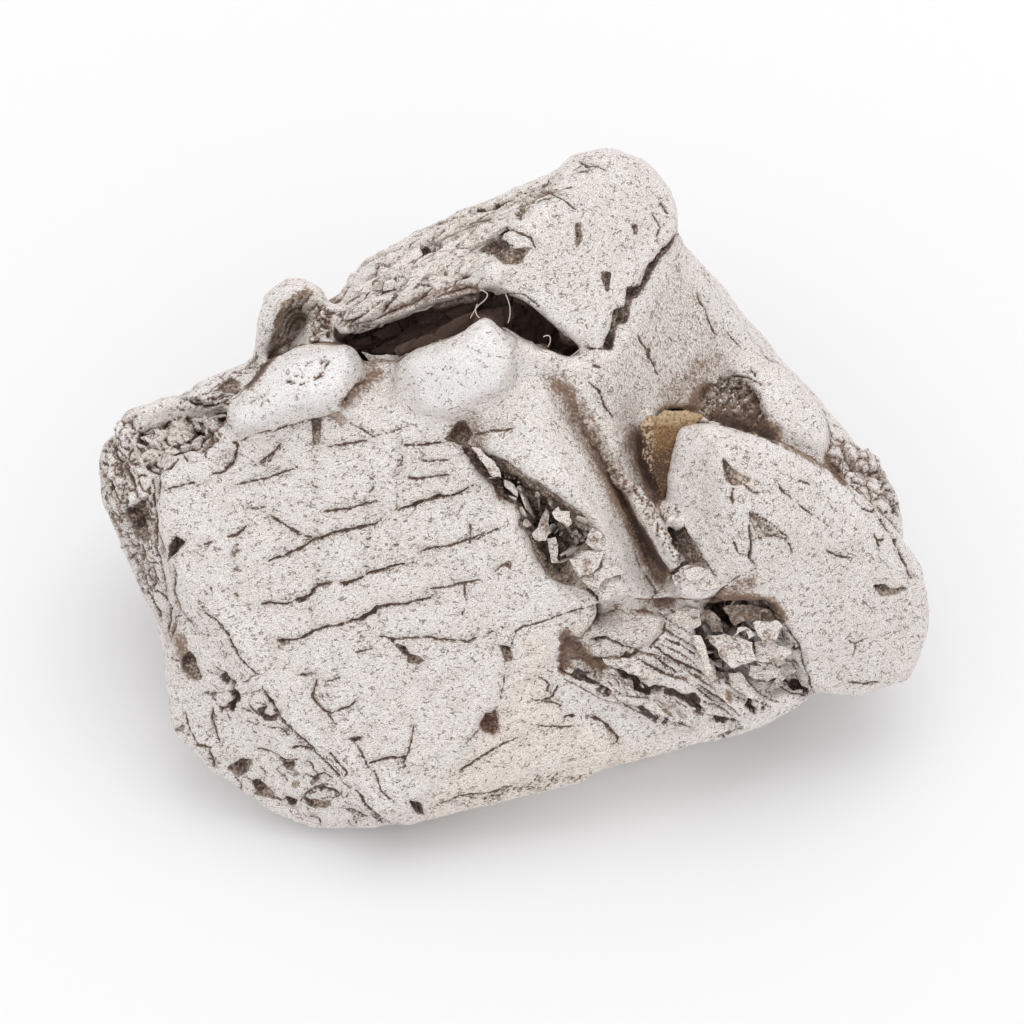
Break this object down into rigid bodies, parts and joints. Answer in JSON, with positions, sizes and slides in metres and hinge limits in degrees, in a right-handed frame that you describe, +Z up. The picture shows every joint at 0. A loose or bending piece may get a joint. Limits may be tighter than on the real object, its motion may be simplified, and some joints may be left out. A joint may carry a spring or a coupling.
{
  "type": "iron meteorite",
  "caption": "Pocket-size iron meteorite: a broad grooved face, swollen lips, a deep fissure, a crumbling cavity and a blunt nose, worn smooth at the edges.",
  "frame": {"origin": "middle of the flat, worn seat that the lump rests on", "axes": "+X along the longest side, towards the blunt nose, -Y out of the front, where the grooved face leans back by 30 degrees, +Z up"},
  "size_m": [0.0359, 0.0274, 0.0208],
  "materials": {
    "meteoritic_iron": "dull silver-grey metal, brown in its cracks and hollows",
    "ochre_crust": "matt, crumbly"
  },
  "bodies": {
    "root": {"meteorite": "meteoritic_iron", "ochre_crust": "ochre_crust"}
  },
  "joints": []
}
